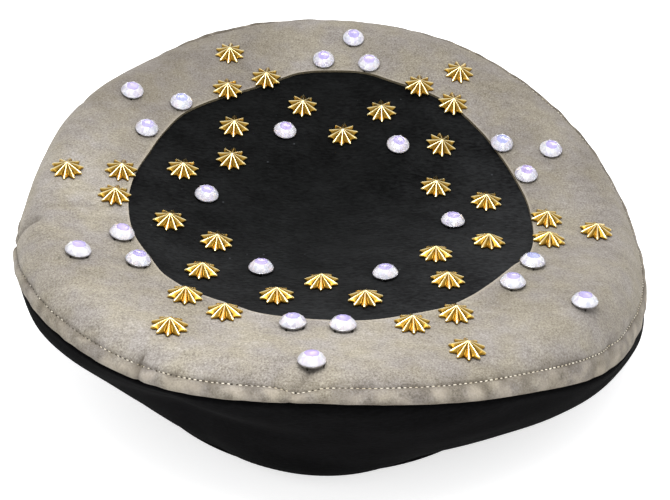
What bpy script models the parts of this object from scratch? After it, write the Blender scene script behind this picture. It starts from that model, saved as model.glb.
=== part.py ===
"""Soft suede beret with a dished crown, a lapped ring, a headband, gold star studs and crystals.

Run it with blender --background --python part.py or from Blender's text editor.
Units are metres, +Z is up, the hat stands on z = 0 and its bounding box is centred on x = y = 0.
Azimuths are in degrees, counter-clockwise from +X as seen from above; the wearer's face is at -Y.
"""
import math
import random

import bpy
import numpy as np
from mathutils import Matrix, Vector
from mathutils.bvhtree import BVHTree

# Sizes of the hat
HAT_RADIUS = 0.134        # middle of the crown to the seam round its rim
DISH_HEIGHT = 0.061       # ground to the middle of the dished crown
DISH_DEPTH = 0.020        # rise from the middle of the crown to its shoulder
SUEDE_WALL = 0.0014       # thickness of every suede piece
LAP = 0.009               # how far the beige ring lies over the black centre
FIT_GAP = 0.0003          # clearance between pieces that touch

# Sizes of the headband
BAND_RADIUS = 0.0918      # outside of the headband
BAND_HEIGHT = 0.024       # ground to the top of the headband
BAND_WALL = 0.0026        # folded band with its sweat tape
BAND_CLEARANCE = 0.0014   # suede that hangs beside the band stays this far out

# Sizes of the studs
STAR_DIAMETER = 0.0140
STAR_HEIGHT = 0.0034
STAR_EDGE = 0.0005        # height of the stamped edge
STAR_POINTS = 10
STAR_SPIN = 7.0           # studs are turned by up to this many degrees
CRYSTAL_DIAMETER = 0.0105
CRYSTAL_HEIGHT = 0.0042
CRYSTAL_GIRDLE = 0.0026   # ground of the stone to its widest edge
CRYSTAL_TABLE = 0.0054    # width of the flat top
CRYSTAL_FOOT = 0.0076     # width where the stone meets the suede
CRYSTAL_SINK = 0.0003     # how deep the foot is pressed into the suede
CRYSTAL_FACETS = 10

# Fineness of the meshes
STATIONS = 54             # sections round the hat
CENTRE_STEPS = (0.18, 0.38, 0.58, 0.79)    # rings of the centre, as shares of its radius
MIDDLE_SHARE = 0.45       # radius of the "middle" column, as a share of the rim
SHOULDER_SHARE = 0.86     # radius of the "shoulder" column, as a share of the rim
ROLL_REACH_SHARE = 0.085  # how straight the crown leaves its shoulder, as a share of the rim
ROLL_LIFT_SHARE = 0.40    # how full the roll is above the seam
LEAST_LIFT = 0.0005
LEAST_DROP = 0.004        # the suede always leaves the seam downwards
DOWN = (0.0, -1.0)        # direction of both suedes at the seam, as radius and height

# One row for every 30 degrees, from azimuth 0. Heights named middle and shoulder are shares of
# DISH_DEPTH above the middle of the dish. The other heights are shares of DISH_HEIGHT above the
# ground, and radii are shares of HAT_RADIUS, but fold_out is a share of the way from the band to
# HAT_RADIUS. The crown sags on the right, at azimuth 0 and 330.
COLUMNS = ("middle", "shoulder", "rim", "seam", "belly_out", "belly_up", "fold_out", "fold_up", "cut")
SECTIONS = (
    (-0.04, -0.227, 1.012, 0.62, 1.015, 0.22, 0.43, 0.10, 0.644),
    (0.03, 0.288, 0.995, 0.98, 0.98, 0.37, 0.36, 0.16, 0.657),
    (0.47, 1.02, 0.98, 1.275, 0.94, 0.60, 0.27, 0.22, 0.67),
    (0.50, 1.36, 0.965, 1.395, 0.92, 0.72, 0.24, 0.26, 0.662),
    (0.60, 1.25, 0.98, 1.37, 0.91, 0.76, 0.21, 0.28, 0.649),
    (0.51, 1.225, 1.012, 1.10, 0.925, 0.76, 0.18, 0.28, 0.647),
    (0.42, 0.935, 0.988, 0.985, 0.919, 0.754, 0.154, 0.271, 0.647),
    (0.31, 1.025, 1.005, 1.13, 0.958, 0.767, 0.121, 0.317, 0.6335),
    (0.34, 0.949, 0.99, 1.17, 0.881, 0.785, 0.123, 0.135, 0.597),
    (0.37, 1.014, 0.975, 1.25, 0.885, 0.746, 0.189, 0.143, 0.626),
    (0.36, 0.641, 0.985, 1.09, 0.896, 0.549, 0.148, 0.207, 0.6165),
    (0.19, 0.331, 1.005, 0.74, 0.964, 0.392, 0.351, 0.106, 0.632),
)

# Studs outside the cut edge, one row for every 30 degrees. A row is a pair side by side and one
# stud further out. Angles are degrees and radii are shares of HAT_RADIUS.
# Columns: azimuth, radius of the pair, half their spread, azimuth of the outer stud, its radius
OUTER_GROUPS = (
    (26.5, 0.686, 6.5, 25.5, 0.826),
    (57.5, 0.677, 5.7, 56.5, 0.812),
    (86.0, 0.692, 6.6, 84.5, 0.810),
    (117.0, 0.662, 6.4, 116.6, 0.816),
    (146.0, 0.682, 7.4, 145.0, 0.831),
    (177.5, 0.684, 5.4, 176.0, 0.844),
    (206.7, 0.681, 6.1, 206.6, 0.830),
    (237.0, 0.665, 6.1, 237.5, 0.825),
    (266.5, 0.671, 6.1, 266.5, 0.856),
    (295.5, 0.673, 6.0, 296.0, 0.837),
    (328.4, 0.672, 6.1, 325.5, 0.883),
    (355.5, 0.690, 5.4, 357.0, 0.843),
)

# Gold stars on the black centre, three to a group
# Columns: azimuth of the inner star, its radius, azimuth of the pair, its radius, half their spread
CENTRE_GROUPS = (
    (27.1, 0.386, 28.2, 0.517, 16.0),
    (84.7, 0.395, 86.2, 0.525, 15.1),
    (144.4, 0.410, 146.2, 0.513, 15.7),
    (205.6, 0.395, 206.4, 0.516, 15.1),
    (265.2, 0.374, 266.2, 0.486, 15.4),
    (325.7, 0.386, 328.9, 0.507, 16.2),
)

# Crystals on the black centre: azimuth, radius
CENTRE_CRYSTALS = (
    (56.0, 0.399),
    (113.5, 0.401),
    (174.5, 0.405),
    (236.0, 0.380),
    (294.5, 0.384),
    (356.5, 0.384),
)

BEIGE = (0.36, 0.29, 0.19)
BLACK = (0.012, 0.011, 0.010)
BAND_BLACK = (0.010, 0.010, 0.011)
GOLD = (0.85, 0.62, 0.26)


def clear_scene():
    for obj in list(bpy.data.objects):
        bpy.data.objects.remove(obj, do_unlink=True)


def material(name, colour, roughness, metallic=0.0):
    made = bpy.data.materials.new(name)
    made.use_nodes = True
    shader = made.node_tree.nodes["Principled BSDF"]
    shader.inputs["Base Color"].default_value = (*colour, 1.0)
    shader.inputs["Roughness"].default_value = roughness
    shader.inputs["Metallic"].default_value = metallic
    return made


def new_object(name, mesh, surface):
    mesh.materials.clear()
    mesh.materials.append(surface)
    obj = bpy.data.objects.new(name, mesh)
    bpy.context.scene.collection.objects.link(obj)
    return obj


def section(azimuth):
    """The table's columns at any azimuth, by a smooth closed curve through its rows."""
    place = (azimuth % 360.0) / 360.0 * len(SECTIONS)
    row = int(place)
    f = place - row
    weights = (
        -0.5 * f + f ** 2 - 0.5 * f ** 3,
        1.0 - 2.5 * f ** 2 + 1.5 * f ** 3,
        0.5 * f + 2.0 * f ** 2 - 1.5 * f ** 3,
        -0.5 * f ** 2 + 0.5 * f ** 3,
    )
    rows = [SECTIONS[(row + step) % len(SECTIONS)] for step in (-1, 0, 1, 2)]
    values = np.array(weights) @ np.array(rows)
    return dict(zip(COLUMNS, values))


def hermite(start, end, leave, arrive, x):
    return (
        start * (2 * x ** 3 - 3 * x ** 2 + 1)
        + leave * (x ** 3 - 2 * x ** 2 + x)
        + end * (3 * x ** 2 - 2 * x ** 3)
        + arrive * (x ** 3 - x ** 2)
    )


def crown_height(azimuth, radius):
    """Height above the ground of the crown's outer face, inside its shoulder."""
    s = section(azimuth)
    middle = s["middle"] * DISH_DEPTH
    shoulder = s["shoulder"] * DISH_DEPTH
    share = radius / (s["rim"] * HAT_RADIUS)
    inner_slope = shoulder / SHOULDER_SHARE
    outer_slope = (shoulder - middle) / (SHOULDER_SHARE - MIDDLE_SHARE)
    if share < MIDDLE_SHARE:
        x = share / MIDDLE_SHARE
        rise = hermite(0.0, middle, 0.0, inner_slope * MIDDLE_SHARE, x)
    else:
        step = SHOULDER_SHARE - MIDDLE_SHARE
        x = (share - MIDDLE_SHARE) / step
        rise = hermite(middle, shoulder, inner_slope * step, outer_slope * step, min(x, 1.0))
    return DISH_HEIGHT + rise


def crown_path(azimuth, radii):
    return [np.array((radius, crown_height(azimuth, radius))) for radius in radii]


def roll_path(azimuth, steps):
    """From the shoulder, over the rim, down to the seam."""
    s = section(azimuth)
    rim = s["rim"] * HAT_RADIUS
    middle = s["middle"] * DISH_DEPTH
    shoulder = s["shoulder"] * DISH_DEPTH
    seam = s["seam"] * DISH_HEIGHT
    slope = (shoulder - middle) / ((SHOULDER_SHARE - MIDDLE_SHARE) * rim)
    straight_on = DISH_HEIGHT + shoulder + slope * (1.0 - SHOULDER_SHARE) * rim
    lift = max(ROLL_LIFT_SHARE * (straight_on - seam), LEAST_LIFT)
    a = np.array((SHOULDER_SHARE * rim, DISH_HEIGHT + shoulder))
    b = a + ROLL_REACH_SHARE * rim * np.array((1.0, slope))
    c = np.array((rim, seam + lift))
    d = np.array((rim, seam))
    path = []
    for x in np.linspace(0.0, 1.0, steps + 1)[1:]:
        path.append((1 - x) ** 3 * a + 3 * x * (1 - x) ** 2 * b + 3 * x * x * (1 - x) * c + x ** 3 * d)
    return path


def under_path(azimuth, steps=(2, 3, 2)):
    """From the seam, round the belly, under the fold and up beside the band to its top."""
    s = section(azimuth)
    seam = np.array((s["rim"] * HAT_RADIUS, s["seam"] * DISH_HEIGHT - FIT_GAP))
    belly = np.array((s["belly_out"] * HAT_RADIUS, s["belly_up"] * DISH_HEIGHT))
    ease = HAT_RADIUS - BAND_RADIUS
    fold = np.array((BAND_RADIUS + s["fold_out"] * ease, s["fold_up"] * DISH_HEIGHT))
    beside = np.array((BAND_RADIUS + BAND_CLEARANCE, BAND_HEIGHT - SUEDE_WALL))
    lip = np.array((BAND_RADIUS - BAND_WALL, BAND_HEIGHT + FIT_GAP))
    corner = np.array((BAND_RADIUS + BAND_CLEARANCE / 2, BAND_HEIGHT + FIT_GAP))
    drop = max(LEAST_DROP, 0.6 * abs(seam[1] - belly[1]))
    stops = (seam, belly, fold, beside)
    pulls = (
        np.array((0.0, -drop)),
        (fold - seam) / 2,
        (beside - belly) / 2 * np.array((1.0, 0.0)),
        np.array((0.0, beside[1] - fold[1])),
    )
    path = [seam]
    for leg, count in enumerate(steps):
        for x in np.linspace(0.0, 1.0, count + 1)[1:]:
            path.append(hermite(stops[leg], stops[leg + 1], pulls[leg], pulls[leg + 1], x))
    return path + [corner, lip]


def inside(path, depth, enter=None, leave=None):
    """The same path moved by depth to the hollow side, which is on its right-hand side.

    enter and leave are the directions at its ends, where these differ from the first and last legs.
    """
    points = np.array(path)
    legs = np.diff(points, axis=0)
    legs /= np.linalg.norm(legs, axis=1)[:, None]
    before = np.vstack((legs[:1], legs))
    after = np.vstack((legs, legs[-1:]))
    if enter is not None:
        before[0] = after[0] = enter
    if leave is not None:
        before[-1] = after[-1] = leave
    ahead = before + after
    ahead /= np.linalg.norm(ahead, axis=1)[:, None]
    mitre = 1.0 / np.maximum(0.6, np.sum(ahead * after, axis=1))
    hollow = np.stack((ahead[:, 1], -ahead[:, 0]), axis=1)
    return points + hollow * (depth * mitre)[:, None]


def azimuths():
    return [360.0 * i / STATIONS for i in range(STATIONS)]


def turned(path, azimuth):
    angle = math.radians(azimuth)
    return [(r * math.cos(angle), r * math.sin(angle), z) for r, z in path]


def swept(name, sections, surface, axis_heights=()):
    """A closed mesh from one section for each azimuth: its outer path, then its inner path backwards.

    axis_heights are the top and the bottom of the middle of a disc, whose sections stay open there.
    """
    across = len(sections[0])
    points = []
    for azimuth, path in zip(azimuths(), sections):
        points += turned(path, azimuth)
    faces = []
    for i in range(STATIONS):
        j = (i + 1) % STATIONS
        for k in range(across - 1 if axis_heights else across):
            m = (k + 1) % across
            a, b, c, d = i * across + k, j * across + k, j * across + m, i * across + m
            # the same diagonals above and below, so that lapped pieces keep their distance
            if k < across // 2:
                faces += [(a, d, b), (b, d, c)]
            else:
                faces += [(a, d, c), (a, c, b)]
    if axis_heights:
        top, bottom = len(points), len(points) + 1
        points += [(0.0, 0.0, height) for height in axis_heights]
        for i in range(STATIONS):
            j = (i + 1) % STATIONS
            faces.append((top, i * across, j * across))
            faces.append((bottom, j * across + across - 1, i * across + across - 1))
    mesh = bpy.data.meshes.new(name)
    mesh.from_pydata(points, [], faces)
    mesh.shade_smooth()
    mesh.set_sharp_from_angle(angle=math.radians(50))
    return new_object(name, mesh, surface)


def walled(outer, depth, enter=None, leave=None):
    return list(outer) + list(inside(outer, depth, enter, leave))[::-1]


def build_ring(surface):
    """The beige suede: from its cut edge, up to the shoulder and over the rim to the seam."""
    sections = []
    for azimuth in azimuths():
        s = section(azimuth)
        cut = s["cut"] * HAT_RADIUS
        shoulder = s["rim"] * HAT_RADIUS * SHOULDER_SHARE
        flat = crown_path(azimuth, (cut, cut + LAP, shoulder))
        sections.append(walled(flat + roll_path(azimuth, 5), SUEDE_WALL, leave=DOWN))
    return swept("crown_ring", sections, surface)


def build_centre(surface):
    """The black suede: a disc whose edge runs under the ring by the lap."""
    sections = []
    for azimuth in azimuths():
        cut = section(azimuth)["cut"] * HAT_RADIUS
        radii = [cut * share for share in CENTRE_STEPS] + [cut, cut + LAP]
        crown = np.array(crown_path(azimuth, radii + [radii[-1] + LAP]))
        top = inside(crown, SUEDE_WALL + FIT_GAP)[:-1]
        foot = inside(crown, 2 * SUEDE_WALL + FIT_GAP)[:-1]
        sections.append(list(top) + list(foot)[::-1])
    middle = DISH_HEIGHT - SUEDE_WALL - FIT_GAP
    return swept("crown_centre", sections, surface, (middle, middle - SUEDE_WALL))


def build_underside(surface):
    sections = [walled(under_path(azimuth), SUEDE_WALL, enter=DOWN) for azimuth in azimuths()]
    return swept("underside", sections, surface)


def build_band(surface):
    inner = BAND_RADIUS - BAND_WALL
    path = [(inner, BAND_HEIGHT), (BAND_RADIUS, BAND_HEIGHT), (BAND_RADIUS, 0.0), (inner, 0.0)]
    return swept("headband", [path] * STATIONS, surface)


def star_mesh():
    """A stamped star: sharp ridges from its apex to the points, valleys between them."""
    radius = STAR_DIAMETER / 2
    points = [(0.0, 0.0, 0.0), (0.0, 0.0, STAR_HEIGHT)]
    faces = []
    rings = (
        (1.00, 0.80, 0.0, 0.0),
        (1.00, 0.80, STAR_EDGE / STAR_HEIGHT, STAR_EDGE / STAR_HEIGHT),
        (0.55, 0.42, 0.74, 0.52),
    )
    count = 2 * STAR_POINTS
    for ridge_out, valley_out, ridge_up, valley_up in rings:
        for i in range(count):
            out, up = (ridge_out, ridge_up) if i % 2 == 0 else (valley_out, valley_up)
            angle = math.pi * i / STAR_POINTS
            points.append((radius * out * math.cos(angle), radius * out * math.sin(angle), STAR_HEIGHT * up))
    foot, edge, middle = 2, 2 + count, 2 + 2 * count
    for i in range(count):
        j = (i + 1) % count
        faces.append((0, foot + j, foot + i))
        faces.append((foot + i, foot + j, edge + j, edge + i))
        if i % 2 == 0:
            faces += [(edge + i, edge + j, middle + i), (edge + j, middle + j, middle + i)]
        else:
            faces += [(edge + i, edge + j, middle + j), (edge + i, middle + j, middle + i)]
        faces.append((middle + i, middle + j, 1))
    mesh = bpy.data.meshes.new("star")
    mesh.from_pydata(points, [], faces)
    return mesh


def crystal_points(frame):
    """Rings of one stone: foot, girdle and table."""
    rings = (
        (CRYSTAL_FOOT / 2, 0.0),
        (CRYSTAL_DIAMETER / 2, CRYSTAL_GIRDLE),
        (CRYSTAL_TABLE / 2, CRYSTAL_HEIGHT),
    )
    points = []
    for radius, height in rings:
        for i in range(CRYSTAL_FACETS):
            angle = 2 * math.pi * i / CRYSTAL_FACETS
            points.append(frame @ Vector((radius * math.cos(angle), radius * math.sin(angle), height)))
    return points


def crystals_object(name, frames, surface):
    """All the stones of one setting as one guide object, for a Boolean union."""
    points, faces = [], []
    n = CRYSTAL_FACETS
    for frame in frames:
        first = len(points)
        points += crystal_points(frame)
        faces.append(tuple(first + i for i in reversed(range(n))))
        faces.append(tuple(first + 2 * n + i for i in range(n)))
        for ring in (0, 1):
            for i in range(n):
                a, b = first + ring * n + i, first + ring * n + (i + 1) % n
                faces.append((a, b, b + n, a + n))
    mesh = bpy.data.meshes.new(name)
    mesh.from_pydata(points, [], faces)
    guide = new_object(name, mesh, surface)
    guide.hide_render = True
    guide.display_type = "WIRE"
    return guide


def cloth_tree(*pieces):
    points, faces = [], []
    for piece in pieces:
        first = len(points)
        points += [v.co.copy() for v in piece.data.vertices]
        faces += [tuple(first + i for i in polygon.vertices) for polygon in piece.data.polygons]
    return BVHTree.FromPolygons(points, faces)


def crown_frame(azimuth, radius, tree):
    """A frame on the crown: its origin on the cloth, its Z square to the crown, its X towards +X."""
    step = STAR_DIAMETER / 4
    angle = math.radians(azimuth)
    x, y = radius * math.cos(angle), radius * math.sin(angle)

    def height(px, py):
        return crown_height(math.degrees(math.atan2(py, px)), math.hypot(px, py))

    slope_x = (height(x + step, y) - height(x - step, y)) / (2 * step)
    slope_y = (height(x, y + step) - height(x, y - step)) / (2 * step)
    up = Vector((-slope_x, -slope_y, 1.0)).normalized()
    side = (Vector((1.0, 0.0, 0.0)) - up * up.x).normalized()
    ahead = up.cross(side)
    above = Vector((x, y, crown_height(azimuth, radius))) + up * HAT_RADIUS / 10
    origin = tree.ray_cast(above, -up)[0]
    frame = Matrix((side, ahead, up)).transposed().to_4x4()
    frame.translation = origin
    return frame


def rim_heights(frame, radius, tree):
    """Heights of the cloth under a round foot, along the frame's Z; it may hang over a cut edge."""
    start = HAT_RADIUS / 10
    up = frame.to_3x3().col[2]
    heights = []
    for i in range(24):
        angle = 2 * math.pi * i / 24
        for share in (0.5, 0.8, 1.0):
            spot = Vector((radius * share * math.cos(angle), radius * share * math.sin(angle), start))
            distance = tree.ray_cast(frame @ spot, -up)[3]
            if distance is not None:
                heights.append(start - distance)
    return heights


def seated(frame, radius, tree, gap):
    """The frame lifted until a flat foot of this radius clears the cloth by the gap."""
    lift = max(0.0, *rim_heights(frame, radius, tree)) + gap
    return frame @ Matrix.Translation((0.0, 0.0, lift))


def pressed_in(frame, radius, tree, depth):
    """The frame lowered until the whole foot is in the cloth by at least the depth."""
    drop = min(0.0, *rim_heights(frame, radius, tree)) - depth
    return frame @ Matrix.Translation((0.0, 0.0, drop))


def outer_spots(kind):
    """Azimuth and radius of the studs outside the cut edge: crystals in odd groups, stars in even."""
    spots = []
    for azimuth, pair_out, spread, tip_azimuth, tip_out in OUTER_GROUPS[kind::2]:
        spots.append((azimuth - spread, pair_out * HAT_RADIUS))
        spots.append((azimuth + spread, pair_out * HAT_RADIUS))
        spots.append((tip_azimuth, tip_out * HAT_RADIUS))
    return spots


def centre_star_spots():
    spots = []
    for azimuth, out, pair_azimuth, pair_out, spread in CENTRE_GROUPS:
        spots.append((azimuth, out * HAT_RADIUS))
        spots.append((pair_azimuth - spread, pair_out * HAT_RADIUS))
        spots.append((pair_azimuth + spread, pair_out * HAT_RADIUS))
    return spots


def set_crystals(cloth, spots, tree, surface):
    """Press the stones into one piece of suede and join them to it."""
    frames = []
    for azimuth, radius in spots:
        frame = crown_frame(azimuth, radius, tree)
        frames.append(pressed_in(frame, CRYSTAL_FOOT / 2, tree, CRYSTAL_SINK))
    guide = crystals_object("stones_of_" + cloth.name, frames, surface)
    union = cloth.modifiers.new("stones", "BOOLEAN")
    union.operation = "UNION"
    union.solver = "EXACT"
    union.object = guide
    return guide


def set_stars(spots, tree, surface):
    mesh = star_mesh()
    chance = random.Random(7)
    stars = []
    for number, (azimuth, radius) in enumerate(spots, start=1):
        frame = seated(crown_frame(azimuth, radius, tree), STAR_DIAMETER / 2, tree, FIT_GAP)
        spin = math.radians(90.0 + chance.uniform(-STAR_SPIN, STAR_SPIN))
        star = new_object("gold_star_%02d" % number, mesh, surface)
        star.matrix_world = frame @ Matrix.Rotation(spin, 4, "Z")
        stars.append(star)
    return stars


def centre_on_origin(objects):
    """Hang everything on an empty that brings the middle of the outline to x = y = 0."""
    bpy.context.view_layer.update()
    corners = [obj.matrix_world @ v.co for obj in objects for v in obj.data.vertices]
    hat = bpy.data.objects.new("hat", None)
    bpy.context.scene.collection.objects.link(hat)
    for obj in objects:
        obj.parent = hat
    for axis in (0, 1):
        values = [corner[axis] for corner in corners]
        hat.location[axis] = -(min(values) + max(values)) / 2


def main():
    clear_scene()
    beige = material("beige suede", BEIGE, 0.95)
    black = material("black suede", BLACK, 0.95)
    band_black = material("black band", BAND_BLACK, 0.90)
    gold = material("gold", GOLD, 0.25, 1.0)

    ring = build_ring(beige)
    centre = build_centre(black)
    underside = build_underside(black.copy())
    band = build_band(band_black)
    both = cloth_tree(ring, centre)

    stars = set_stars(centre_star_spots() + outer_spots(1), both, gold)
    guides = [
        set_crystals(ring, outer_spots(0), cloth_tree(ring), beige),
        set_crystals(
            centre,
            [(azimuth, out * HAT_RADIUS) for azimuth, out in CENTRE_CRYSTALS],
            cloth_tree(centre),
            black,
        ),
    ]
    centre_on_origin([ring, centre, underside, band] + stars + guides)


main()
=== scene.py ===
"""Looks of a suede beret with star studs and crystals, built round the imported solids.

Lengths are metres. The section table is the one that the solids were made from.
"""
import math
import random

import bpy
import numpy as np
from mathutils import Matrix, Vector, noise


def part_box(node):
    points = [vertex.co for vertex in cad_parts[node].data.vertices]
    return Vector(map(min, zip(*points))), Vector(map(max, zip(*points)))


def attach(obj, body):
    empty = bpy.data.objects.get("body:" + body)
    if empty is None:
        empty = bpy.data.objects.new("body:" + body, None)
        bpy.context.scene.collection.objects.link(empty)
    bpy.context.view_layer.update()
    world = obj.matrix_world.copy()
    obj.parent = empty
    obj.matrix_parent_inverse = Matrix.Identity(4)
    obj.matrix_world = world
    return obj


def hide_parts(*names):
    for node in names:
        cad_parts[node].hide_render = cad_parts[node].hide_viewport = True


MM = 0.001

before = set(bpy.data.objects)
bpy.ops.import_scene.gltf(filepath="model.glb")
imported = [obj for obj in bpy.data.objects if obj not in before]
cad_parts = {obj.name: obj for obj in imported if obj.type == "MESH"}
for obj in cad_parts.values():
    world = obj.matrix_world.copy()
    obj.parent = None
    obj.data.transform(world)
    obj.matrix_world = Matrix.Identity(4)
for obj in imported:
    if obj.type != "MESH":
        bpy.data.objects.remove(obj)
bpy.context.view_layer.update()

# Sizes of the hat, as the solids have them
HAT_RADIUS = 134.0 * MM
DISH_HEIGHT = 61.0 * MM
DISH_DEPTH = 20.0 * MM
SUEDE_WALL = 1.4 * MM
LAP = 9.0 * MM
FIT_GAP = 0.3 * MM
MIDDLE_SHARE = 0.45
SHOULDER_SHARE = 0.86
ROLL_REACH_SHARE = 0.085
ROLL_LIFT_SHARE = 0.40
LEAST_LIFT = 0.5 * MM
LEAST_DROP = 4.0 * MM

# The headband's own solid gives its size and the axis of the hat
BAND_LOW, BAND_HIGH = (Vector(corner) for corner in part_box("headband"))
BAND_RADIUS = (BAND_HIGH.x - BAND_LOW.x) / 2
BAND_HEIGHT = BAND_HIGH.z
BAND_WALL = 2.6 * MM
BAND_CLEARANCE = 1.4 * MM
BAND_BEND = 0.8 * MM
AXIS = Vector(((BAND_LOW.x + BAND_HIGH.x) / 2, (BAND_LOW.y + BAND_HIGH.y) / 2, 0.0))

# One row for every 30 degrees, from azimuth 0: shares of the sizes above
COLUMNS = ("middle", "shoulder", "rim", "seam", "belly_out", "belly_up", "fold_out", "fold_up", "cut")
SECTIONS = (
    (-0.04, -0.227, 1.012, 0.62, 1.015, 0.22, 0.43, 0.10, 0.644),
    (0.03, 0.288, 0.995, 0.98, 0.98, 0.37, 0.36, 0.16, 0.657),
    (0.47, 1.02, 0.98, 1.275, 0.94, 0.60, 0.27, 0.22, 0.67),
    (0.50, 1.36, 0.965, 1.395, 0.92, 0.72, 0.24, 0.26, 0.662),
    (0.60, 1.25, 0.98, 1.37, 0.91, 0.76, 0.21, 0.28, 0.649),
    (0.51, 1.225, 1.012, 1.10, 0.925, 0.76, 0.18, 0.28, 0.647),
    (0.42, 0.935, 0.988, 0.985, 0.919, 0.754, 0.154, 0.271, 0.647),
    (0.31, 1.025, 1.005, 1.13, 0.958, 0.767, 0.121, 0.317, 0.6335),
    (0.34, 0.949, 0.99, 1.17, 0.881, 0.785, 0.123, 0.135, 0.597),
    (0.37, 1.014, 0.975, 1.25, 0.885, 0.746, 0.189, 0.143, 0.626),
    (0.36, 0.641, 0.985, 1.09, 0.896, 0.549, 0.148, 0.207, 0.6165),
    (0.19, 0.331, 1.005, 0.74, 0.964, 0.392, 0.351, 0.106, 0.632),
)
# How far the edge roll sags over the seam of the solids, in mm, for the same azimuths
SEAM_SAG = (1.0, 0.0, 0.0, 0.0, 0.0, 0.0, 0.0, 0.0, 0.0, 0.0, 2.0, 4.5)
# How far the stitch line runs above the seam, in mm, for the same azimuths
STITCH_ABOVE_SEAM = (6.0, 3.0, 3.0, 3.0, 3.0, 3.5, 3.8, 6.6, 6.4, 6.6, 8.2, 11.0)
# Painted shade: darkening of the beige round the hat where less light falls on it, for the same azimuths
PAINTED_SHADE_BY_AZIMUTH = (0.18, 0.28, 0.20, 0.16, 0.38, 0.33, 0.02, 0.12, 0.02, 0.03, 0.17, 0.26)

# Painted sheen: lightening of the black centre towards its edge, for the same azimuths
BLACK_LIT = (0.9, 0.5, 0.1, 0.0, 0.0, 0.1, 0.3, 0.5, 0.6, 0.7, 0.8, 1.0)

# Crystals on the beige ring: azimuth and radius of the pair, half their spread, the outer stone
RING_CRYSTALS = (
    (26.0, 0.686, 6.6, 25.0, 0.819),
    (86.0, 0.712, 6.5, 84.7, 0.816),
    (146.0, 0.690, 7.6, 145.2, 0.831),
    (206.4, 0.678, 6.1, 206.8, 0.831),
    (266.7, 0.664, 6.0, 266.6, 0.870),
    (328.6, 0.670, 6.1, 325.1, 0.886),
)
# Crystals on the black centre: azimuth, radius
CENTRE_CRYSTALS = (
    (56.5, 0.404), (112.5, 0.418), (173.5, 0.405), (235.2, 0.373), (295.0, 0.378), (358.0, 0.387),
)

# Creases at the sewn edge: azimuth, slant in degrees per mm, how far in it runs, depth, half width in mm
CREASES = (
    (238.2, -0.10, 13.0, 2.3, 1.0),
    (241.5, -0.10, 9.0, 0.7, 1.8),
    (246.5, 0.0, 7.5, 0.5, 1.5),
    (251.0, 0.1, 8.5, 0.6, 1.8),
    (256.5, 0.0, 7.0, 0.4, 1.6),
    (264.8, 0.22, 17.0, 1.3, 1.4),
    (267.5, 0.0, 9.0, 0.5, 2.2),
    (229.0, 0.0, 10.0, 0.6, 2.0),
    (221.0, 0.05, 13.0, 0.7, 2.6),
    (210.0, 0.0, 12.0, 0.5, 3.0),
    (277.0, 0.0, 7.0, 0.35, 2.0),
    (296.0, 0.0, 8.0, 0.35, 3.0),
    (319.0, 0.1, 11.0, 0.7, 3.0),
    (324.5, 0.10, 15.0, 0.8, 2.2),
    (338.0, 0.0, 13.0, 0.4, 3.4),
    (191.0, 0.05, 24.0, 2.4, 2.8),
)
# Long soft creases across the ring: azimuth, slant, from and to in mm from the seam, depth, half width
LONG_CREASES = (
    (189.5, -0.08, 16.0, 50.0, 0.9, 2.4),
    (151.0, 0.10, 10.0, 36.0, 0.5, 3.0),
)
# How the cut edge was trimmed out or in, in mm, one value for every 10 degrees
TRIM = (
    0.0, 0.0, -0.4, 0.0, 1.0, 0.8, 0.2, -0.5, 1.8, 1.7, 1.6, -1.0,
    -1.2, 0.0, 1.2, -0.2, -1.4, -1.1, -0.8, -0.8, -0.5, -0.8, 1.8, 2.2,
    1.0, 0.8, -0.8, -1.7, -0.8, -0.6, 0.6, 0.2, -1.6, -1.9, 0.6, 0.4,
)
# How a sewn crease dies away: how far before its end it starts, and over what length, in mm
CREASE_TAIL = 4.0
CREASE_FADE = math.sqrt(12.0)
# The distance from the seam at which a sewn crease crosses its own azimuth, in mm
CREASE_ANCHOR = 6.0
# Lengths over which a long crease comes and goes, in mm
LONG_FADE_IN = math.sqrt(30.0)
LONG_FADE_OUT = math.sqrt(60.0)
# Dip of the stitch line at the middle crease: azimuth, half width in degrees, depth in mm
STITCH_DIP = (264.8, 2.8, 2.1)

# How far the slack of the underside is tucked in, in mm, one value for every 30 degrees
UNDER_TUCK = (0.0, 0.0, 0.0, 0.0, 0.0, 0.0, 0.0, 0.0, 0.5, 0.0, 0.4, 0.0)
# One harder pull at the deepest crease: azimuth, half width in degrees, depth in mm
UNDER_PULL = (243.0, 3.5, 0.9)
ROUND_FOLD = 0.9 * MM
SLACK = 0.4 * MM

# Relief of the beige ring: its padded roll, the crimp on it, the stitched channel and the soft dents
ROLL_PUFF = 0.85 * MM
ROLL_CRIMP = 0.14 * MM
STITCH_CHANNEL = 0.45 * MM
STITCH_PULL = 0.5 * MM
SOFT_DENT = 0.55 * MM
FINE_DENT = 0.2 * MM
# The flat seat under a stud, and the width over which the relief comes back round it
STUD_SEAT = 6 * MM
STUD_EASE = 8 * MM
# How deep cloth turns in at a seam, over what width, and how much of its relief its back shares
SEAM_TURN = 0.9 * MM
SEAM_TURN_WIDTH = 0.7 * MM
BACK_RELIEF = 0.3 * MM

# A star stud: reach of its tips and notches, heights of its middle, tips and foot, widths of rib and tip
STAR_RAYS = 10
STAR_RADIUS = 7.0 * MM
STAR_NOTCH = 4.9 * MM
STAR_HEIGHT = 4.2 * MM
STAR_TIP_HEIGHT = 0.85 * MM
STAR_FOOT = 0.45 * MM
RIB_HALF = 0.12 * MM
TIP_HALF = 0.26 * MM
# Places across a ray, as shares of half a ray from its rib, and along it from the middle
RAY_ACROSS = (-1.0, -0.74, -0.48, -0.30, -0.18, -0.09, 0.0, 0.09, 0.18, 0.30, 0.48, 0.74)
RAY_ALONG = (0.07, 0.18, 0.32, 0.46, 0.60, 0.74, 0.86, 0.95, 1.0)

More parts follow.
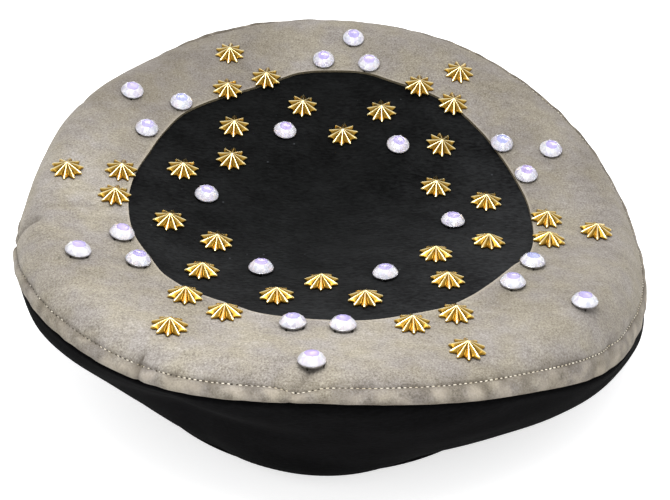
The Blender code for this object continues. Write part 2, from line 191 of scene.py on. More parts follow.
# Levels of a crystal: radius and height
CRYSTAL_TABLE = (2.8 * MM, 4.6 * MM)
CRYSTAL_KITES = (4.1 * MM, 3.75 * MM)
GIRDLE_TOP = (5.1 * MM, 2.15 * MM)
GIRDLE_FOOT = (5.1 * MM, 1.85 * MM)
CRYSTAL_BACK = (3.4 * MM, 0.95 * MM)
CULET_HEIGHT = 0.6 * MM
CRYSTAL_SINK = 0.1 * MM
# Tints that the coating gives to a facet, to the table and to the girdle
FACET_TINTS = ("#ffffff", "#fafafc", "#ececf2", "#e4e0f0", "#ffffff", "#e8edf6", "#f8f0f4")
TABLE_TINTS = ("#b9a6e0", "#b3a6e2", "#c2b3e8", "#adb2e6", "#bdb0e4", "#b6abe0", "#a9aee2", "#dda6c8")
GIRDLE_TINT = "#f4f2fa"

# The cup under a crystal, from its floor to its rolled lip: radius and height in mm
CUP_PROFILE = (
    (2.2, 0.05), (3.6, 0.15), (4.4, 0.6), (4.9, 1.2), (5.12, 1.65), (5.18, 1.8), (5.1, 1.9), (4.95, 1.8),
)
CUP_SEGMENTS = 24
# Its prongs, from the cup down into the suede: distance out, height and half width in mm
PRONGS = 4
PRONG_PROFILE = ((4.75, 1.1, 0.42), (4.65, 0.5, 0.36), (4.5, -0.1, 0.30))
PRONG_HALF_THICKNESS = 0.22

# Camera, from the perspective of the stud pattern in the 670 by 500 photograph
CAMERA_ELEVATION = math.radians(37.72)
CAMERA_DISTANCE = 569.8 * MM
CAMERA_RIGHT = 1.27 * MM
CAMERA_DOWN = 14.11 * MM
FOCAL_PIXELS = 1325.3
PHOTO_WIDTH = 670
SENSOR = 36.0

# Studio: half the floor, its own glow, the light from all round, and the lamps: place, size and watts
FLOOR_HALF = 3.0
PAPER_GLOW = 0.62
ALL_ROUND_LIGHT = 0.88
LAMPS = (
    ("softbox above the front", (-0.01, -0.115, 0.39), 0.22, 1.45),
    ("softbox behind", (0.2, 0.95, 1.25), 0.9, 3.0),
)
LAMP_TARGET = Vector((0, 0, 0.05))

# Fineness of the cloth round the hat
STATIONS = 560
# Distances of the ring's points from the seam: close together at the padded edge and the stitch line
EDGE_SHARES = (0.0, 0.05, 0.12, 0.22, 0.34, 0.46, 0.58, 0.69, 0.78, 0.86, 0.92, 0.965, 1.0)
PAST_STITCH = (0.35, 0.8, 1.4, 2.2, 3.3, 4.8, 6.6, 8.8, 11.4, 14.4)
FIELD_STEPS = 26
PATH_STEPS = 60
# Steps down the underside's three legs: seam to belly, belly to fold, fold to band
UNDER_STEPS = (18, 18, 10)
# The black centre's innermost ring of points, its steps out to the cut edge, and those that ease in there
CENTRE_START = 3 * MM
CENTRE_STEPS = 44
CENTRE_EDGE_STEPS = 8

# Running stitch: pitch, thread, how it arches and dives at its ends, and how deep it is sunk in mm
STITCH_PITCH = 2.1 * MM
THREAD_RADIUS = 0.22 * MM
THREAD_SIDES = 6
THREAD_RINGS = 7
THREAD_END_SHARE = 0.55
THREAD_ARCH = 0.30 * MM
THREAD_DIVE = 0.25 * MM
STITCH_HALF_SHARE = 0.33
SUNK_AT_RIGHT = 0.10
SUNK_MORE_AT_LEFT = 0.36
# Needle hole, drawn as a dark patch of painted shade: half its length and width, and its rings as shares of
# them with their rise in mm
HOLE_HALF_LENGTH = 0.42 * MM
HOLE_HALF_WIDTH = 0.3 * MM
HOLE_RINGS = ((1.0, 0.10), (0.55, 0.13))
HOLE_SIDES = 8


def linear(code):
    """An sRGB hex value as linear red, green, blue and full alpha."""
    values = [int(code[i:i + 2], 16) / 255 for i in (1, 3, 5)]
    return (*(v / 12.92 if v <= 0.04045 else ((v + 0.055) / 1.055) ** 2.4 for v in values), 1.0)


def node(tree, kind, values=None, links=None, stops=(), **settings):
    """One shader node with its settings, input values, links and ramp colours."""
    made = tree.nodes.new(kind)
    for key, value in settings.items():
        setattr(made, key, value)
    for key, value in (values or {}).items():
        made.inputs[key].default_value = value
    for key, source in (links or {}).items():
        socket = source if isinstance(source, bpy.types.NodeSocket) else source.outputs[0]
        tree.links.new(socket, made.inputs[key])
    for index, (place, code) in enumerate(stops):
        elements = made.color_ramp.elements
        if index >= len(elements):
            elements.new(place)
        elements[index].position = place
        elements[index].color = linear(code)
    return made


def new_material(name, roughness, metallic=0.0):
    """A material with its shader, and the place on the object that its patterns are drawn from."""
    made = bpy.data.materials.new(name)
    made.use_nodes = True
    tree = made.node_tree
    shader = tree.nodes["Principled BSDF"]
    shader.inputs["Roughness"].default_value = roughness
    shader.inputs["Metallic"].default_value = metallic
    place = tree.nodes.new("ShaderNodeTexCoord").outputs["Object"]
    return made, tree, shader, place


def beige_suede():
    """Brushed cowhide split, dyed taupe: matt, mottled where the nap lies differently, paler where it is
    stretched over the padded edge and darker along the stitch line. Its colour also carries painted shade
    in the creases, at the seam and round the hat, and a painted highlight along the cut edge."""
    made, tree, shader, place = new_material("beige brushed suede", 0.95)
    lay = node(tree, "ShaderNodeMapping", {"Scale": (0.45, 1.0, 1.0), "Rotation": (0, 0, 0.4)}, {0: place})
    clouds = node(
        tree, "ShaderNodeTexNoise", {"Scale": 1 / (30 * MM), "Detail": 2.0, "Roughness": 0.5}, {0: place}
    )
    strokes = node(
        tree, "ShaderNodeTexNoise", {"Scale": 1 / (4 * MM), "Detail": 3.0, "Roughness": 0.6}, {0: lay}
    )
    # The fibres are finer than this, and are drawn at 0.75 mm so that they show
    grain = node(
        tree, "ShaderNodeTexNoise", {"Scale": 1 / (0.75 * MM), "Detail": 3.0, "Roughness": 0.8}, {0: place}
    )
    tone = node(tree, "ShaderNodeMath", {1: 0.66, 2: 0.0}, {0: grain}, operation="MULTIPLY_ADD")
    tone = node(tree, "ShaderNodeMath", {1: 0.14}, {0: strokes, 2: tone}, operation="MULTIPLY_ADD")
    tone = node(tree, "ShaderNodeMath", {1: 0.20}, {0: clouds, 2: tone}, operation="MULTIPLY_ADD")
    stops = ((0.37, "#605c55"), (0.46, "#817c74"), (0.54, "#928e86"), (0.64, "#aaa7a0"))
    colour = node(tree, "ShaderNodeValToRGB", links={"Fac": tone}, stops=stops)
    patches = node(tree, "ShaderNodeTexNoise", {"Scale": 1 / (13 * MM), "Detail": 2.0}, {0: place})
    stops = ((0.36, "#fffbf0"), (0.64, "#fbf9fd"))
    hue = node(tree, "ShaderNodeValToRGB", links={"Fac": patches}, stops=stops)
    colour = node(
        tree, "ShaderNodeMixRGB", {"Fac": 1.0}, {"Color1": colour, "Color2": hue}, blend_type="MULTIPLY"
    )
    painted_shade_and_darkening = node(tree, "ShaderNodeAttribute", attribute_name="painted_shade_and_darkening")
    pale = node(tree, "ShaderNodeAttribute", attribute_name="pale")
    # Darker where the ring is marked darker: painted shade in its creases, at the seam and round the hat, and
    # a darkening along the stitch line and down the roll
    colour = node(
        tree, "ShaderNodeMixRGB", {"Color2": linear("#463e34")},
        {"Fac": painted_shade_and_darkening.outputs["Fac"], "Color1": colour},
    )
    # Paler where the ring is rubbed pale on its roll, and a painted highlight along the cut edge
    colour = node(
        tree, "ShaderNodeMixRGB", {"Color2": linear("#a49b8c")},
        {"Fac": pale.outputs["Fac"], "Color1": colour},
    )
    tree.links.new(colour.outputs[0], shader.inputs["Base Color"])
    shader.inputs["Specular IOR Level"].default_value = 0.2
    shader.inputs["Sheen Weight"].default_value = 0.15
    shader.inputs["Sheen Roughness"].default_value = 0.6
    shader.inputs["Sheen Tint"].default_value = linear("#efe6d6")
    tufts = node(
        tree, "ShaderNodeTexNoise", {"Scale": 1 / (2.2 * MM), "Detail": 3.0, "Roughness": 0.6}, {0: place}
    )
    height = node(tree, "ShaderNodeMath", {1: 0.6}, {0: grain, 2: tufts}, operation="MULTIPLY_ADD")
    bump = node(tree, "ShaderNodeBump", {"Strength": 0.8, "Distance": 0.4 * MM}, {"Height": height})
    tree.links.new(bump.outputs["Normal"], shader.inputs["Normal"])
    return made


def cut_edge():
    """The raw edge of the beige hide, with harder fibres than the nap: darker, partly its own colour and
    partly painted shade.
    """
    made, tree, shader, place = new_material("raw cut edge of suede", 0.9)
    fibres = node(tree, "ShaderNodeTexNoise", {"Scale": 1 / (0.7 * MM), "Detail": 3.0}, {0: place})
    stops = ((0.3, "#4c4533"), (0.65, "#6e6550"))
    colour = node(tree, "ShaderNodeValToRGB", links={"Fac": fibres}, stops=stops)
    tree.links.new(colour.outputs[0], shader.inputs["Base Color"])
    return made


def black_suede(name, dark, light, lint, sheen):
    """Black suede split: almost no shine, a streaky blue-grey nap and small flecks of lint, with a painted
    sheen mixed in where its lit value is high.
    """
    made, tree, shader, place = new_material(name, 0.95)
    lay = node(tree, "ShaderNodeMapping", {"Scale": (0.4, 1.0, 1.0), "Rotation": (0, 0, -0.35)}, {0: place})
    clouds = node(tree, "ShaderNodeTexNoise", {"Scale": 1 / (18 * MM), "Detail": 3.0}, {0: place})
    nap = node(
        tree, "ShaderNodeTexNoise", {"Scale": 1 / (1.1 * MM), "Detail": 3.0, "Roughness": 0.7}, {0: lay}
    )
    tone = node(tree, "ShaderNodeMath", {1: 0.7, 2: 0.0}, {0: nap}, operation="MULTIPLY_ADD")
    tone = node(tree, "ShaderNodeMath", {1: 0.3}, {0: clouds, 2: tone}, operation="MULTIPLY_ADD")
    colour = node(tree, "ShaderNodeValToRGB", links={"Fac": tone}, stops=((0.36, dark), (0.64, light)))
    # Painted sheen: a paler copy of the nap's tones, mixed in by the lit value
    lit = node(tree, "ShaderNodeAttribute", attribute_name="lit")
    stops = ((0.38, "#111112"), (0.62, "#292a2b"))
    raised = node(tree, "ShaderNodeValToRGB", links={"Fac": tone}, stops=stops)
    mixed = {"Fac": lit.outputs["Fac"], "Color1": colour, "Color2": raised}
    colour = node(tree, "ShaderNodeMixRGB", links=mixed)
    cells = node(tree, "ShaderNodeTexVoronoi", {"Scale": 1 / (11 * MM)}, {0: place})
    fleck = node(
        tree, "ShaderNodeMapRange", {"From Min": 0.02, "From Max": 0.05, "To Min": 0.35, "To Max": 0.0},
        {0: cells.outputs["Distance"]},
    )
    colour = node(tree, "ShaderNodeMixRGB", {"Color2": linear(lint)}, {"Fac": fleck, "Color1": colour})
    tree.links.new(colour.outputs[0], shader.inputs["Base Color"])
    shader.inputs["Specular IOR Level"].default_value = 0.02
    shader.inputs["Sheen Weight"].default_value = sheen
    shader.inputs["Sheen Roughness"].default_value = 0.5
    shader.inputs["Sheen Tint"].default_value = linear("#d6d8da")
    bump = node(tree, "ShaderNodeBump", {"Strength": 0.6, "Distance": 0.4 * MM}, {"Height": nap})
    tree.links.new(bump.outputs["Normal"], shader.inputs["Normal"])
    return made


def gilt_brass():
    """Stamped brass with a thin gilt wash, polished smoother along its ribs; its colour has painted
    highlights along the ribs and painted shade down in the valleys.
    """
    made, tree, shader, place = new_material("gilt stamped brass", 0.3, 1.0)
    crest = node(tree, "ShaderNodeAttribute", attribute_name="crest")
    blotch = node(tree, "ShaderNodeTexNoise", {"Scale": 1 / (2.5 * MM), "Detail": 2.0}, {0: place})
    # Painted highlight on the ribs and painted shade in the valleys, by the crest value, with random blotches
    level = node(
        tree, "ShaderNodeMath", {1: 0.25}, {0: blotch, 2: crest.outputs["Fac"]}, operation="MULTIPLY_ADD"
    )
    stops = ((0.05, "#664c15"), (0.28, "#9a772c"), (0.70, "#d2ab55"), (1.0, "#fdeeb8"))
    colour = node(tree, "ShaderNodeValToRGB", links={"Fac": level}, stops=stops)
    tree.links.new(colour.outputs[0], shader.inputs["Base Color"])
    rough = node(tree, "ShaderNodeMapRange", {"To Min": 0.36, "To Max": 0.2}, {0: crest.outputs["Fac"]})
    tree.links.new(rough.outputs[0], shader.inputs["Roughness"])
    pits = node(tree, "ShaderNodeTexNoise", {"Scale": 1 / (0.7 * MM), "Detail": 2.0}, {0: place})
    bump = node(tree, "ShaderNodeBump", {"Strength": 0.2, "Distance": 0.06 * MM}, {"Height": pits})
    tree.links.new(bump.outputs["Normal"], shader.inputs["Normal"])
    return made


def coated_glass():
    """Cut glass with a thin rainbow coating: each facet is clear with its own faint tint."""
    made, tree, shader, _ = new_material("coated cut glass", 0.02)
    tint = node(tree, "ShaderNodeAttribute", attribute_name="tint")
    tree.links.new(tint.outputs["Color"], shader.inputs["Base Color"])
    shader.inputs["IOR"].default_value = 1.56
    shader.inputs["Transmission Weight"].default_value = 0.62
    return made


def mirror_foil():
    """Silver foil on the stone's pointed back, which sends the light out again."""
    made, tree, shader, _ = new_material("silver foil backing", 0.3, 1.0)
    tint = node(tree, "ShaderNodeAttribute", attribute_name="tint")
    tree.links.new(tint.outputs["Color"], shader.inputs["Base Color"])
    return made


def plated_steel(name, dark, light):
    """Plated steel of the stone cups and their prongs: smooth, with a faint uneven tarnish."""
    made, tree, shader, place = new_material(name, 0.3, 1.0)
    grain = node(tree, "ShaderNodeTexNoise", {"Scale": 1 / (0.6 * MM), "Detail": 2.0}, {0: place})
    colour = node(tree, "ShaderNodeValToRGB", links={"Fac": grain}, stops=((0.3, dark), (0.7, light)))
    tree.links.new(colour.outputs[0], shader.inputs["Base Color"])
    return made


def ivory_thread():
    """Waxed cotton thread, ivory, soiled here and there by the dye of the suede."""
    made, tree, shader, place = new_material("ivory cotton thread", 0.75)
    soil = node(tree, "ShaderNodeTexNoise", {"Scale": 1 / (6 * MM), "Detail": 2.0}, {0: place})
    stops = ((0.35, "#b5a98f"), (0.6, "#e9e2d0"))
    colour = node(tree, "ShaderNodeValToRGB", links={"Fac": soil}, stops=stops)
    tree.links.new(colour.outputs[0], shader.inputs["Base Color"])
    return made


def painted_hole_shade():
    """Painted shade of a needle hole in the suede, the colour of a dark patch laid over it."""
    made, tree, shader, place = new_material("needle hole", 1.0)
    soft = node(tree, "ShaderNodeTexNoise", {"Scale": 1 / (5 * MM)}, {0: place})
    stops = ((0.35, "#231e17"), (0.6, "#4a4236"))
    colour = node(tree, "ShaderNodeValToRGB", links={"Fac": soft}, stops=stops)
    tree.links.new(colour.outputs[0], shader.inputs["Base Color"])
    return made


def studio_paper():
    """Pale seamless paper, lit so evenly that it looks white."""
    made, tree, shader, place = new_material("pale studio paper", 0.9)
    fibres = node(tree, "ShaderNodeTexNoise", {"Scale": 1 / (2 * MM)}, {0: place})
    stops = ((0.2, "#f3f3f2"), (0.8, "#f8f8f7"))
    colour = node(tree, "ShaderNodeValToRGB", links={"Fac": fibres}, stops=stops)
    tree.links.new(colour.outputs[0], shader.inputs["Base Color"])
    shader.inputs["Emission Color"].default_value = linear("#ffffff")
    shader.inputs["Emission Strength"].default_value = PAPER_GLOW
    return made


def hermite(start, end, leave, arrive, x):
    """A smooth curve from start to end that leaves and arrives at these slopes."""
    return (
        start * (2 * x ** 3 - 3 * x ** 2 + 1)
        + leave * (x ** 3 - 2 * x ** 2 + x)
        + end * (3 * x ** 2 - 2 * x ** 3)
        + arrive * (x ** 3 - x ** 2)
    )


def round_table(rows, azimuth):
    """Values at any azimuth, by a smooth closed curve through evenly spaced rows."""
    place = (azimuth % 360.0) / 360.0 * len(rows)
    row = int(place)
    f = place - row
    weights = (
        -0.5 * f + f ** 2 - 0.5 * f ** 3,
        1.0 - 2.5 * f ** 2 + 1.5 * f ** 3,
        0.5 * f + 2.0 * f ** 2 - 1.5 * f ** 3,
        -0.5 * f ** 2 + 0.5 * f ** 3,
    )
    near = [rows[(row + step) % len(rows)] for step in (-1, 0, 1, 2)]
    return np.array(weights) @ np.array(near)


def section(azimuth):
    """The hat's section at an azimuth, by the names of its columns."""
    columns = dict(zip(COLUMNS, round_table(SECTIONS, azimuth)))
    columns["seam"] -= float(round_table(SEAM_SAG, azimuth)) * MM / DISH_HEIGHT
    return columns


def crown_height(azimuth, radius, s=None):
    """Height of the crown's outer face, going straight on past its shoulder."""
    s = s or section(azimuth)
    middle = s["middle"] * DISH_DEPTH
    shoulder = s["shoulder"] * DISH_DEPTH
    share = radius / (s["rim"] * HAT_RADIUS)
    inner_slope = shoulder / SHOULDER_SHARE
    step = SHOULDER_SHARE - MIDDLE_SHARE
    outer_slope = (shoulder - middle) / step
    if share < MIDDLE_SHARE:
        rise = hermite(0.0, middle, 0.0, inner_slope * MIDDLE_SHARE, share / MIDDLE_SHARE)
    elif share > SHOULDER_SHARE:
        rise = shoulder + outer_slope * (share - SHOULDER_SHARE)
    else:
        gone = (share - MIDDLE_SHARE) / step
        rise = hermite(middle, shoulder, inner_slope * step, outer_slope * step, gone)
    return DISH_HEIGHT + rise


def roll_path(s, steps):
    """From the shoulder, over the rim, down to the seam."""
    rim = s["rim"] * HAT_RADIUS
    middle = s["middle"] * DISH_DEPTH
    shoulder = s["shoulder"] * DISH_DEPTH
    seam = s["seam"] * DISH_HEIGHT
    slope = (shoulder - middle) / ((SHOULDER_SHARE - MIDDLE_SHARE) * rim)
    straight_on = DISH_HEIGHT + shoulder + slope * (1.0 - SHOULDER_SHARE) * rim
    lift = max(ROLL_LIFT_SHARE * (straight_on - seam), LEAST_LIFT)
    a = np.array((SHOULDER_SHARE * rim, DISH_HEIGHT + shoulder))
    b = a + ROLL_REACH_SHARE * rim * np.array((1.0, slope))
    c = np.array((rim, seam + lift))
    d = np.array((rim, seam))
    path = []
    for x in np.linspace(0.0, 1.0, steps + 1)[1:]:
        path.append((1 - x) ** 3 * a + 3 * x * (1 - x) ** 2 * b + 3 * x * x * (1 - x) * c + x ** 3 * d)
    return path


def under_path(s, steps):
    """From the seam, round the belly, under the fold and up beside the band to its top."""
    seam = np.array((s["rim"] * HAT_RADIUS, s["seam"] * DISH_HEIGHT - FIT_GAP))
    belly = np.array((s["belly_out"] * HAT_RADIUS, s["belly_up"] * DISH_HEIGHT))
    ease = HAT_RADIUS - BAND_RADIUS
    fold = np.array((BAND_RADIUS + s["fold_out"] * ease, s["fold_up"] * DISH_HEIGHT))
    beside = np.array((BAND_RADIUS + BAND_CLEARANCE, BAND_HEIGHT - SUEDE_WALL))
    lip = np.array((BAND_RADIUS - BAND_WALL, BAND_HEIGHT + FIT_GAP))
    corner = np.array((BAND_RADIUS + BAND_CLEARANCE / 2, BAND_HEIGHT + FIT_GAP))
    drop = max(LEAST_DROP, 0.6 * abs(seam[1] - belly[1]))
    stops = (seam, belly, fold, beside)
    pulls = (
        np.array((0.0, -drop)),
        (fold - seam) / 2,
        (beside - belly) / 2 * np.array((1.0, 0.0)),
        np.array((0.0, beside[1] - fold[1])),
    )
    path = [seam]
    for leg, count in enumerate(steps):
        for x in np.linspace(0.0, 1.0, count + 1)[1:]:
            path.append(hermite(stops[leg], stops[leg + 1], pulls[leg], pulls[leg + 1], x))
    return path + [corner, lip]


def azimuths():
    """Azimuth of each station round the hat."""
    return [360.0 * i / STATIONS for i in range(STATIONS)]


def each_station(table):
    """Values of a table round the hat, as a column with one row for each station."""
    return np.array([float(round_table(table, azimuth)) for azimuth in azimuths()])[:, None]


def bell(away, half):
    """1 where away is 0, falling smoothly to nothing past this half width."""
    return np.exp(-(away / half) ** 2)


def turned(rows):
    """Radius and height for each azimuth as points in the frame."""
    rows = np.array(rows)
    angles = np.radians(azimuths())[:, None]
    x = rows[..., 0] * np.cos(angles) + AXIS.x
    y = rows[..., 0] * np.sin(angles) + AXIS.y
    return np.stack((x, y, rows[..., 1]), axis=-1)


def square_to(points):
    """Unit normals of a grid of points that closes round its first axis, out of the hat."""
    along = np.gradient(points, axis=1)
    across = np.roll(points, -1, axis=0) - np.roll(points, 1, axis=0)
    normals = np.cross(along, across)
    return normals / np.maximum(np.linalg.norm(normals, axis=-1, keepdims=True), 1e-12)


def wrinkle(points, size, seed):
    """Smooth noise from -1 to 1 at each point, with waves of about this size."""
    flat = points.reshape(-1, 3) / size + seed * 7.3
    values = [noise.noise(Vector(p)) for p in flat.tolist()]
    return np.array(values).reshape(points.shape[:-1])


def spaced(path, places):
    """Points at these distances back along a path from its end."""
    path = np.array(path)[::-1]
    gone = np.concatenate(([0.0], np.cumsum(np.linalg.norm(np.diff(path, axis=0), axis=1))))
    picked = [np.interp(places, gone, path[:, axis]) for axis in (0, 1)]
    return np.stack(picked, axis=-1), gone[-1]


def mesh_object(name, points, faces, materials, slots=None, sharp=50):
    """A mesh in the scene, smooth but for edges sharper than this many degrees."""
    mesh = bpy.data.meshes.new(name)
    mesh.from_pydata([tuple(p) for p in points], [], faces)
    for surface in materials:
        mesh.materials.append(surface)
    if slots is not None:
        mesh.polygons.foreach_set("material_index", slots)
    mesh.shade_smooth()
    if sharp:
        mesh.set_sharp_from_angle(angle=math.radians(sharp))
    mesh.update()
    obj = bpy.data.objects.new(name, mesh)
    bpy.context.scene.collection.objects.link(obj)
    return obj


def point_values(obj, name, values):
    """Keep one number for each point of a mesh, for its material to read."""
    made = obj.data.attributes.new(name, "FLOAT", "POINT")
    made.data.foreach_set("value", np.asarray(values, dtype=np.float32).ravel())


def closed_cloth(name, outer, inner, materials, axis_points=None, end_slots=(0, 0)):
    """A sheet with both its faces and its two edges; a disc has a point on the axis instead."""
    around, across = outer.shape[:2]
    loops = np.concatenate((outer, inner[:, ::-1]), axis=1)
    points = list(loops.reshape(-1, 3))
    wide = 2 * across
    faces, slots = [], []
    for i in range(around):
        j = (i + 1) % around
        for k in range(wide - 1 if axis_points else wide):
            m = (k + 1) % wide
            faces.append((i * wide + k, i * wide + m, j * wide + m, j * wide + k))
            if k == across - 1:
                slots.append(end_slots[1])
            elif k == wide - 1:
                slots.append(end_slots[0])
            else:
                slots.append(0)
    if axis_points:
        top, bottom = len(points), len(points) + 1
        points += list(axis_points)
        for i in range(around):
            j = (i + 1) % around
            faces.append((top, i * wide, j * wide))
            faces.append((bottom, j * wide + wide - 1, i * wide + wide - 1))
            slots += [0, 0]
    return mesh_object(name, points, faces, materials, slots)


def stud_spots():
    """Centres of all the studs, seen from above."""
    spots = []
    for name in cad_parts:
        if name.startswith("gold_star"):
            low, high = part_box(name)
            spots.append(((low[0] + high[0]) / 2, (low[1] + high[1]) / 2))
    for azimuth, radius in crystal_spots():
        angle = math.radians(azimuth)
        spots.append((radius * math.cos(angle) + AXIS.x, radius * math.sin(angle) + AXIS.y))
    return np.array(spots)


def crystal_spots():
    """Azimuth and radius of every crystal."""
    spots = [(azimuth, radius * HAT_RADIUS) for azimuth, radius in CENTRE_CRYSTALS]
    for azimuth, radius, spread, tip_azimuth, tip_radius in RING_CRYSTALS:
        spots.append((azimuth - spread, radius * HAT_RADIUS))
        spots.append((azimuth + spread, radius * HAT_RADIUS))
        spots.append((tip_azimuth, tip_radius * HAT_RADIUS))
    return spots


def clear_of_studs(points):
    """0 under a stud and 1 away from it, so that the cloth lies true where a stud sits."""
    flat = points[..., :2].reshape(-1, 2)
    nearest = np.full(len(flat), 1.0)
    for spot in stud_spots():
        nearest = np.minimum(nearest, np.linalg.norm(flat - spot, axis=1))
    x = np.clip((nearest - STUD_SEAT) / STUD_EASE, 0.0, 1.0)
    return (x * x * (3 - 2 * x)).reshape(points.shape[:-1])


def stitch_distance(azimuth):
    """Distance of the stitch line from the seam, with the dip that the middle crease pulls into it."""
    middle, half, depth = STITCH_DIP
    dip = depth * bell(azimuth % 360.0 - middle, half)
    return (float(round_table(STITCH_ABOVE_SEAM, azimuth)) - dip) * MM


def ring_rows():
    """Radius and height along the ring for each azimuth, from the cut edge to the seam."""
    rows, reaches = [], []
    for azimuth in azimuths():
        s = section(azimuth)
        cut = s["cut"] * HAT_RADIUS + float(round_table(TRIM, azimuth)) * MM
        shoulder = s["rim"] * HAT_RADIUS * SHOULDER_SHARE
        path = [(r, crown_height(azimuth, r, s)) for r in np.linspace(cut, shoulder, PATH_STEPS)]
        path += [tuple(p) for p in roll_path(s, PATH_STEPS)]
        stitch = stitch_distance(azimuth)
        places = [share * stitch for share in EDGE_SHARES] + [stitch + past * MM for past in PAST_STITCH]
        _, whole = spaced(path, [0.0])
        last = places[-1]
        places += [last + (whole - last) * i / FIELD_STEPS for i in range(1, FIELD_STEPS + 1)]
        picked, _ = spaced(path, places)
        rows.append(picked[::-1])
        reaches.append(np.array(places)[::-1])
    return rows, np.array(reaches)


def back_face(points, normals, lift):
    """The back of a sheet, a wall's thickness in, which follows little of the relief of its face."""
    return points - normals * SUEDE_WALL + normals * np.minimum(lift, BACK_RELIEF)[..., None]


def seam_turn(distance):
    """How the cloth turns in where it is sewn."""
    return -SEAM_TURN * bell(distance, SEAM_TURN_WIDTH)


def ring_creases(angles, reach, share):
    """How deep the sewn and the long creases lie at each point of the ring."""
    inward = reach / MM
    degree = math.radians(1) * HAT_RADIUS / MM
    creased = np.zeros_like(reach)
    for azimuth, slant, length, depth, half in CREASES:
        off = (angles - azimuth - slant * (inward - CREASE_ANCHOR)) * degree
        window = bell(np.clip(inward - length + CREASE_TAIL, 0, None), CREASE_FADE)
        creased += depth * MM * bell(off, half) * window * (0.3 + 0.7 * share)
    for azimuth, slant, start, end, depth, half in LONG_CREASES:
        off = (angles - azimuth - slant * (inward - start)) * degree
        window = bell(np.clip(start - inward, 0, None), LONG_FADE_IN)
        window = window * bell(np.clip(inward - end, 0, None), LONG_FADE_OUT)
        creased += depth * MM * bell(off, half) * window
    return creased


def shade_ring(ring, points, reach, stitch, crimp, creased):
    """Where the ring is darker: painted shade in its creases, at the seam and round the hat, and a darkening
    along the stitch line and down the roll; where it is rubbed pale; and a painted highlight along the cut
    edge.
    """
    share = np.clip(reach / stitch, 0.0, 1.0)
    on_roll = share < 1
    past = reach - stitch
    blotches = np.clip(0.45 + 1.2 * wrinkle(points, size=6 * MM, seed=9) + 0.9 * crimp, 0, 1)
    # Darker along the stitch line and in blotches beside it; painted shade in the creases, deeper where they
    # are deeper
    painted_shade_and_darkening = 0.22 * bell(past, 1.0 * MM) + 0.34 * bell(past, 3.5 * MM) * blotches + 0.24 * creased / MM
    # Painted shade at the seam, where the cloth turns in, and a darkening down the roll towards the seam
    painted_shade_and_darkening += 0.5 * bell(reach, 1.3 * MM) + on_roll * (0.10 + 0.40 * blotches * (1 - share))
    # Painted shade round the hat, by azimuth
    painted_shade_and_darkening += each_station(PAINTED_SHADE_BY_AZIMUTH)
    rubbed = np.clip(0.3 + 1.2 * wrinkle(points, size=5 * MM, seed=12) - 0.9 * crimp, 0, 1)
    pale = 0.55 * np.sin(np.pi * share) * rubbed * on_roll
    # Painted highlight along the cut edge
    pale += 0.5 * bell(reach[:, :1] - reach, 0.45 * MM)
    back = np.zeros_like(reach)
    for name, values in (("painted_shade_and_darkening", painted_shade_and_darkening), ("pale", pale)):
        point_values(ring, name, np.concatenate((np.clip(values, 0, 0.8), back), axis=1))


def build_ring(nap, edge):
    """The beige ring: hand-cut edge, soft dents, and a padded roll outside the stitch line."""
    rows, reach = ring_rows()
    points = turned(rows)
    normals = square_to(points)
    angles = np.array(azimuths())[:, None]
    stitch = np.array([stitch_distance(a) for a in azimuths()])[:, None]
    share = np.clip(reach / stitch, 0.0, 1.0)
    past = reach - stitch

    gather = wrinkle(points * np.array((1, 1, 0.3)), size=8 * MM, seed=5)
    soft = wrinkle(points, size=30 * MM, seed=1)
    fine = wrinkle(points, size=11 * MM, seed=2)
    crimp = wrinkle(points, size=3.6 * MM, seed=15)
    puff = ROLL_CRIMP * crimp * (share < 1) + ROLL_PUFF * np.sin(np.pi * share) ** 0.75 * (1 + 0.75 * gather)
    channel = -STITCH_CHANNEL * bell(past, 0.8 * MM)
    pull = STITCH_PULL * gather * np.exp(-np.clip(past, 0, None) / (7 * MM)) * (share >= 1)
    dents = (SOFT_DENT * soft + FINE_DENT * fine) * np.clip((reach - 4 * MM) / (10 * MM), 0, 1)
    creased = ring_creases(angles, reach, share)
    lift = puff + seam_turn(reach) + channel + (pull + dents) * clear_of_studs(points) - creased

    outer = points + normals * lift[..., None]
    inner = back_face(points, normals, lift)
    ring = closed_cloth("ring_suede", outer, inner, (nap, edge), end_slots=(1, 0))
    shade_ring(ring, points, reach, stitch, crimp, creased)
    return ring, outer, normals


def sewing_line(outer, normals):
    """Points and normals of the ring's face along the stitch line, one for each stitch."""
    column = outer.shape[1] - len(EDGE_SHARES)
    line = outer[:, column]
    away = normals[:, column]
    steps = np.linalg.norm(np.roll(line, -1, axis=0) - line, axis=1)
    gone = np.concatenate(([0.0], np.cumsum(steps)))
    count = int(gone[-1] / STITCH_PITCH)
    places = np.arange(count) * gone[-1] / count
    closed = np.concatenate((line, line[:1]))
    closed_away = np.concatenate((away, away[:1]))
    spots = np.stack([np.interp(places, gone, closed[:, axis]) for axis in range(3)], axis=-1)
    ups = np.stack([np.interp(places, gone, closed_away[:, axis]) for axis in range(3)], axis=-1)
    return spots, ups / np.linalg.norm(ups, axis=1, keepdims=True)


def lay_thread(middles, radii, side, up, points, faces):
    """Add one stitch, a tube of thread through these middles, to a mesh's points and faces."""
    start = len(points)
    for middle, radius in zip(middles, radii):
        for k in range(THREAD_SIDES):
            angle = 2 * math.pi * k / THREAD_SIDES
            points.append(middle + (side * math.cos(angle) + up * math.sin(angle)) * radius)
    last = len(middles) - 1
    for ring in range(last):
        a = start + ring * THREAD_SIDES
        b = a + THREAD_SIDES
        for k in range(THREAD_SIDES):
            m = (k + 1) % THREAD_SIDES
            faces.append((a + k, a + m, b + m, b + k))
    faces.append(tuple(start + k for k in range(THREAD_SIDES))[::-1])
    faces.append(tuple(start + last * THREAD_SIDES + k for k in range(THREAD_SIDES)))


